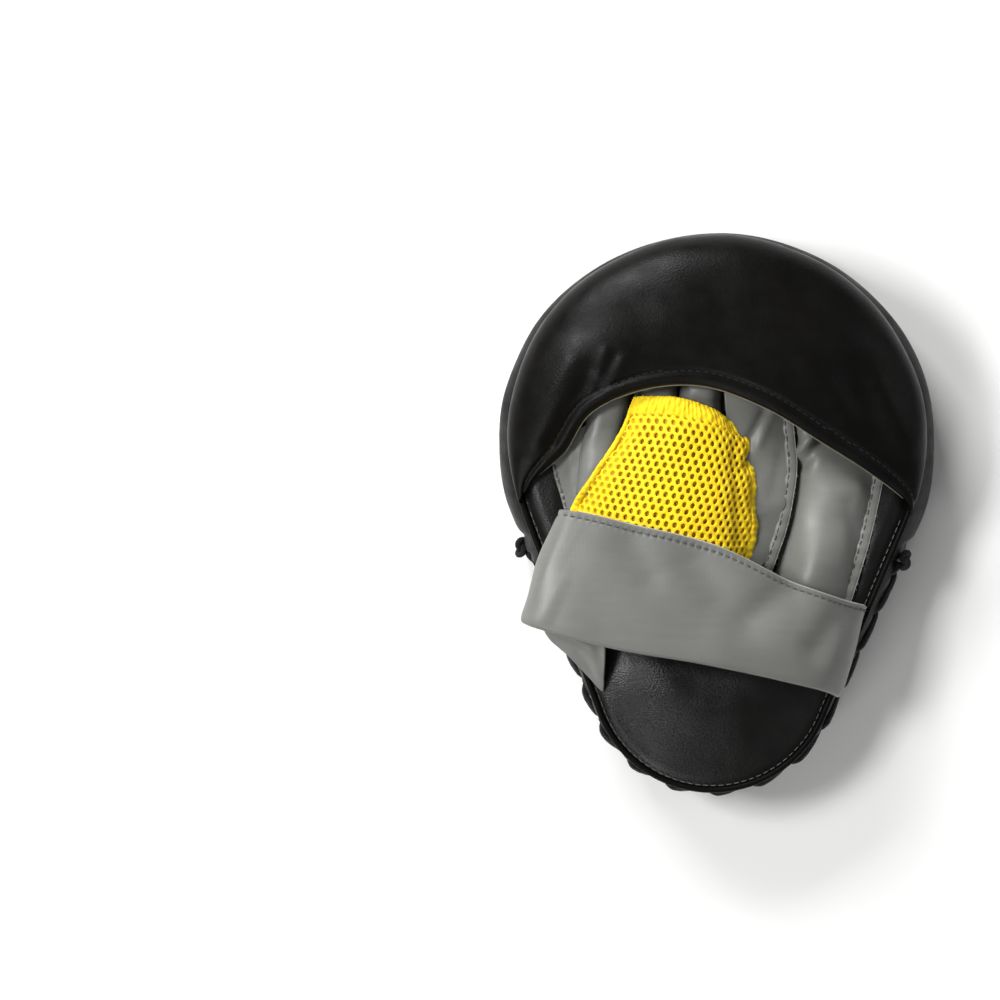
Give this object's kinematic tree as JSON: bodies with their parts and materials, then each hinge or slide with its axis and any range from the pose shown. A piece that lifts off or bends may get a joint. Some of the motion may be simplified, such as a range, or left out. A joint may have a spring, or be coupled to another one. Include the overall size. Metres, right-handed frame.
{
  "type": "focus mitt",
  "caption": "Curved-tip punch target worn on the left hand, with a round target on a padded face, a finger hood, a mesh hand pocket, a laced tip and a wrist strap that opens.",
  "frame": {"origin": "a point on the striking face, on the mitt's centre line at its widest place", "axes": "+Z out of the back, where the hand goes in; +Y to the fingertips; +X to the thumb side"},
  "size_m": [0.2014, 0.2632, 0.0792],
  "materials": {
    "grey_leather": "satin synthetic leather with a fine grain",
    "black_leather": "satin synthetic leather with a pebble grain",
    "target_film": "smooth coloured film",
    "air_mesh": "open spacer mesh",
    "foam_black": "closed-cell foam",
    "foam_grey": "closed-cell foam",
    "lining": "woven lining",
    "cord": "braided cord",
    "hook_and_loop": "hook and loop tape"
  },
  "bodies": {
    "mitt": {"striking_panel": "grey_leather", "target_disc": "target_film", "front_piping": "black_leather", "foam_striking_layer": "foam_black", "foam_core_layer": "foam_grey", "foam_palm_layer": "foam_black", "back_panel": "black_leather", "back_piping": "black_leather", "upper_gusset": "black_leather", "front_lacing_flap": "black_leather", "back_lacing_flap": "black_leather", "lace": "cord", "hood_shell": "black_leather", "hood_foam": "foam_black", "hood_lining": "lining", "hood_edge_binding": "black_leather", "palm_lining": "lining", "finger_stall_little": "grey_leather", "finger_stall_ring": "grey_leather", "finger_stall_middle": "grey_leather", "finger_stall_index": "grey_leather", "thumb_stall": "grey_leather", "knuckle_panel": "grey_leather", "side_strip": "grey_leather", "hand_mesh": "air_mesh", "loop_patch": "hook_and_loop", "anchor_tab": "grey_leather"},
    "strap": {"strap_band": "grey_leather", "strap_lining": "lining", "strap_tail": "grey_leather", "hook_patch": "hook_and_loop"}
  },
  "joints": [
    {"name": "strap_hinge", "type": "hinge", "parent": "mitt", "child": "strap", "pos_m": [0.065, -0.094, 0.0465], "axis": [0.2747, 0.9615, 0], "range_deg": [0, 100]}
  ]
}
